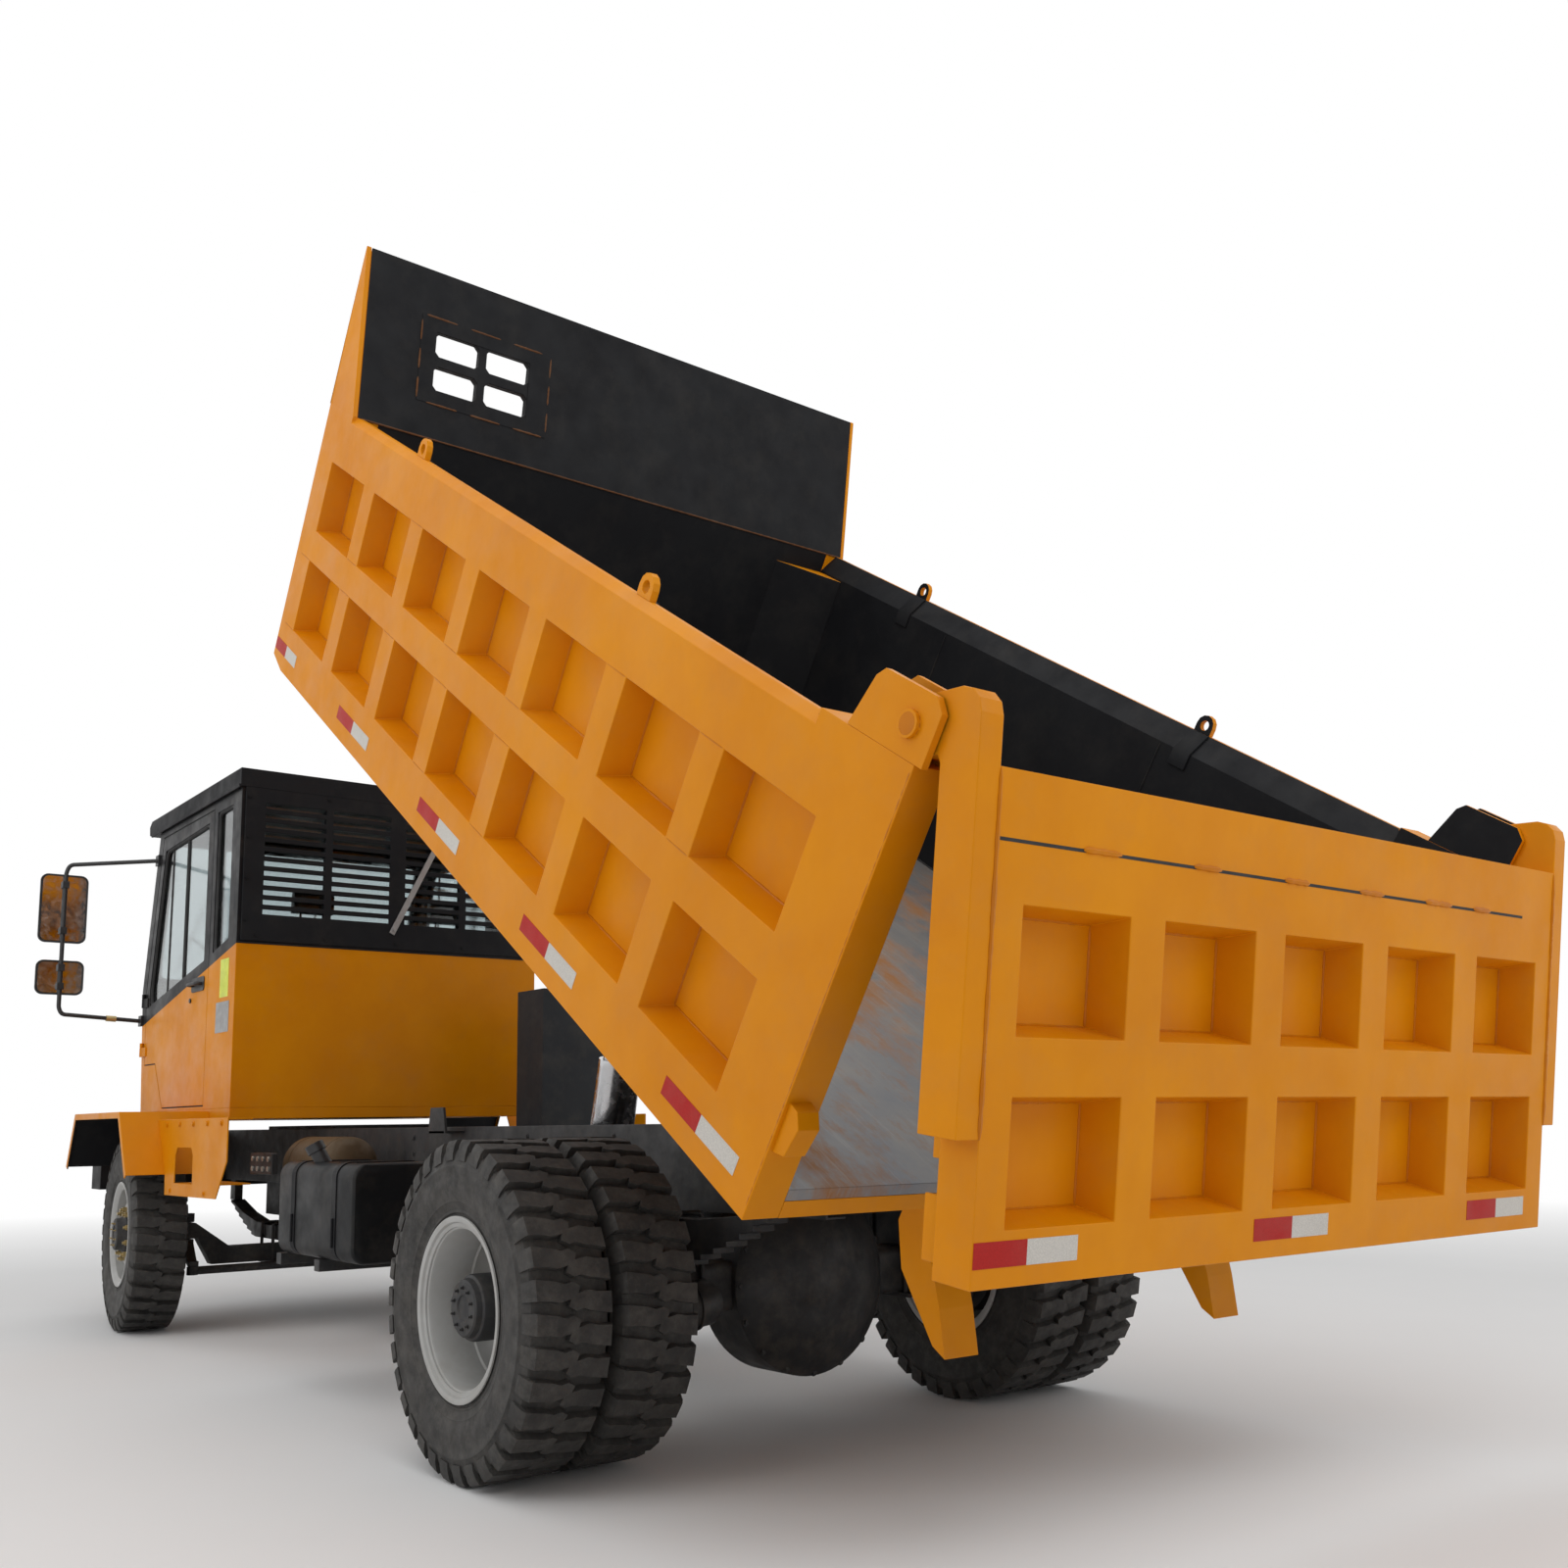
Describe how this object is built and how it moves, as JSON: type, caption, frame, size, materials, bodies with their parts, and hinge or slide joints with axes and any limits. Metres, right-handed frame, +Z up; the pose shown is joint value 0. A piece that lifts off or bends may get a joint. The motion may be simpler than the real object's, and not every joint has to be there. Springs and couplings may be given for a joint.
{
  "type": "mining dump truck",
  "caption": "Two-axle mining dump truck with a tipping ribbed bed, swinging tailgate, steered front wheels, twin rear wheels and opening cab doors.",
  "frame": {"origin": "middle of the bounding box on the ground, bed raised", "axes": "+X forward, +Y to the driver's left, +Z up"},
  "size_m": [8.2386, 3.18, 4.8536],
  "materials": {
    "axle_iron": "painted cast iron",
    "black_paint": "black enamel",
    "black_plastic": "moulded black plastic",
    "chassis_black": "black chassis paint with dust",
    "drum_brown": "brown primer",
    "engine_iron": "cast iron",
    "hoist_chrome": "hard chrome",
    "hoist_grey": "dark grey enamel",
    "lamp_lens": "clear moulded lens",
    "oil_tank_grey": "dark grey enamel",
    "rim_silver": "silver enamel",
    "seat_fabric": "woven cloth",
    "spring_steel": "dark spring steel",
    "tank_paint": "dark enamel",
    "tyre_rubber": "tyre rubber with dust",
    "window_glass": "clear glass",
    "worn_steel": "bare worn steel with rust",
    "yellow_paint": "orange-yellow enamel, lightly worn"
  },
  "bodies": {
    "chassis": {"frame_rails": "chassis_black", "cross_members": "chassis_black", "bed_hinge": "chassis_black", "hoist_mount": "chassis_black", "front_axle": "axle_iron", "rear_axle": "axle_iron", "leaf_springs": "spring_steel", "spring_hangers": "chassis_black", "engine": "engine_iron", "driveline": "axle_iron", "fuel_tank": "tank_paint", "tank_rack": "chassis_black", "air_drum": "drum_brown", "hydraulic_tank": "oil_tank_grey", "battery_box": "chassis_black", "bumper": "black_paint", "headlamps": "lamp_lens", "fenders": "yellow_paint", "steps": "yellow_paint", "cab_floor": "yellow_paint", "cab_rear": "yellow_paint", "rear_guard": "black_paint", "cab_sides": "yellow_paint", "cab_front": "yellow_paint", "cab_roof": "yellow_paint", "cab_glass": "window_glass", "seats": "seat_fabric", "dashboard": "black_plastic", "steering_wheel": "black_plastic", "mirrors": "black_plastic"},
    "bed": {"bed_floor": "worn_steel", "bed_beams": "yellow_paint", "bed_side_l": "yellow_paint", "bed_side_r": "yellow_paint", "bed_front": "yellow_paint", "bed_fittings": "yellow_paint"},
    "tailgate": {"gate_panel": "yellow_paint", "gate_arms": "yellow_paint"},
    "knuckle_l": {"knuckle_l": "axle_iron"},
    "knuckle_r": {"knuckle_r": "axle_iron"},
    "tie_rod": {"tie_rod": "axle_iron"},
    "wheel_fl": {"tyre_fl": "tyre_rubber", "rim_fl": "rim_silver"},
    "wheel_fr": {"tyre_fr": "tyre_rubber", "rim_fr": "rim_silver"},
    "wheels_rl": {"tyres_rl": "tyre_rubber", "rims_rl": "rim_silver"},
    "wheels_rr": {"tyres_rr": "tyre_rubber", "rims_rr": "rim_silver"},
    "hoist_barrels": {"hoist_barrels": "hoist_grey"},
    "hoist_stage_1": {"hoist_stage_1": "hoist_chrome"},
    "hoist_stage_2": {"hoist_stage_2": "hoist_chrome"},
    "hoist_rods": {"hoist_rods": "hoist_chrome"},
    "door_l": {"door_l": "yellow_paint", "door_glass_l": "window_glass"},
    "door_r": {"door_r": "yellow_paint", "door_glass_r": "window_glass"}
  },
  "joints": [
    {"name": "bed_tip", "type": "hinge", "parent": "chassis", "child": "bed", "pos_m": [-2.58073, 0, 1.03], "axis": [0, 1, 0], "range_deg": [0, 33.2]},
    {"name": "tailgate_swing", "type": "hinge", "parent": "bed", "child": "tailgate", "pos_m": [-3.92398, 0, 2.00338], "axis": [0, 1, 0], "range_deg": [-25.7, 65]},
    {"name": "steer_l", "type": "hinge", "parent": "chassis", "child": "knuckle_l", "pos_m": [2.91227, 0.915, 0.545], "axis": [0, 0, 1], "range_deg": [-27.5, 36.5]},
    {"name": "steer_r", "type": "hinge", "parent": "chassis", "child": "knuckle_r", "pos_m": [2.91227, -0.915, 0.545], "axis": [0, 0, 1], "range_deg": [-28.5, 37.5]},
    {"name": "tie_rod_slide", "type": "slide", "parent": "chassis", "child": "tie_rod", "axis": [0, 1, 0], "range_m": [-0.14, 0.14]},
    {"name": "wheel_fl_spin", "type": "hinge", "parent": "knuckle_l", "child": "wheel_fl", "pos_m": [2.93047, 1.14628, 0.545], "axis": [0.0785, 0.9969, 0], "continuous": true},
    {"name": "wheel_fr_spin", "type": "hinge", "parent": "knuckle_r", "child": "wheel_fr", "pos_m": [2.89407, -1.14628, 0.545], "axis": [0.0785, 0.9969, 0], "continuous": true},
    {"name": "wheels_rl_spin", "type": "hinge", "parent": "chassis", "child": "wheels_rl", "pos_m": [-1.73073, 1.096, 0.545], "axis": [0, 1, 0], "continuous": true},
    {"name": "wheels_rr_spin", "type": "hinge", "parent": "chassis", "child": "wheels_rr", "pos_m": [-1.73073, -1.096, 0.545], "axis": [0, 1, 0], "continuous": true},
    {"name": "hoist_swing", "type": "hinge", "parent": "chassis", "child": "hoist_barrels", "pos_m": [-0.63073, 0, 0.64], "axis": [0, 1, 0], "range_deg": [-0.5, 14.62]},
    {"name": "hoist_slide_1", "type": "slide", "parent": "hoist_barrels", "child": "hoist_stage_1", "axis": [-0.2458, 0, 0.9693], "range_m": [-0.3663, 0.001]},
    {"name": "hoist_slide_2", "type": "slide", "parent": "hoist_stage_1", "child": "hoist_stage_2", "axis": [-0.2458, 0, 0.9693], "range_m": [-0.3663, 0.001]},
    {"name": "hoist_slide_3", "type": "slide", "parent": "hoist_stage_2", "child": "hoist_rods", "axis": [-0.2458, 0, 0.9693], "range_m": [-0.3663, 0.001]},
    {"name": "door_l_swing", "type": "hinge", "parent": "chassis", "child": "door_l", "pos_m": [3.93327, 0.954, 1.6], "axis": [0, 0, -1], "range_deg": [0, 70]},
    {"name": "door_r_swing", "type": "hinge", "parent": "chassis", "child": "door_r", "pos_m": [3.93327, -0.954, 1.6], "axis": [0, 0, 1], "range_deg": [0, 70]}
  ],
  "couplings": [
    {"joint": "steer_r", "follows": "steer_l", "ratio": 1},
    {"joint": "tie_rod_slide", "follows": "steer_l", "m_per_rad": -0.19864},
    {"joint": "hoist_swing", "follows": "bed_tip", "ratio": 0.42533},
    {"joint": "hoist_slide_1", "follows": "bed_tip", "m_per_rad": -0.62864},
    {"joint": "hoist_slide_2", "follows": "bed_tip", "m_per_rad": -0.62864},
    {"joint": "hoist_slide_3", "follows": "bed_tip", "m_per_rad": -0.62864}
  ]
}
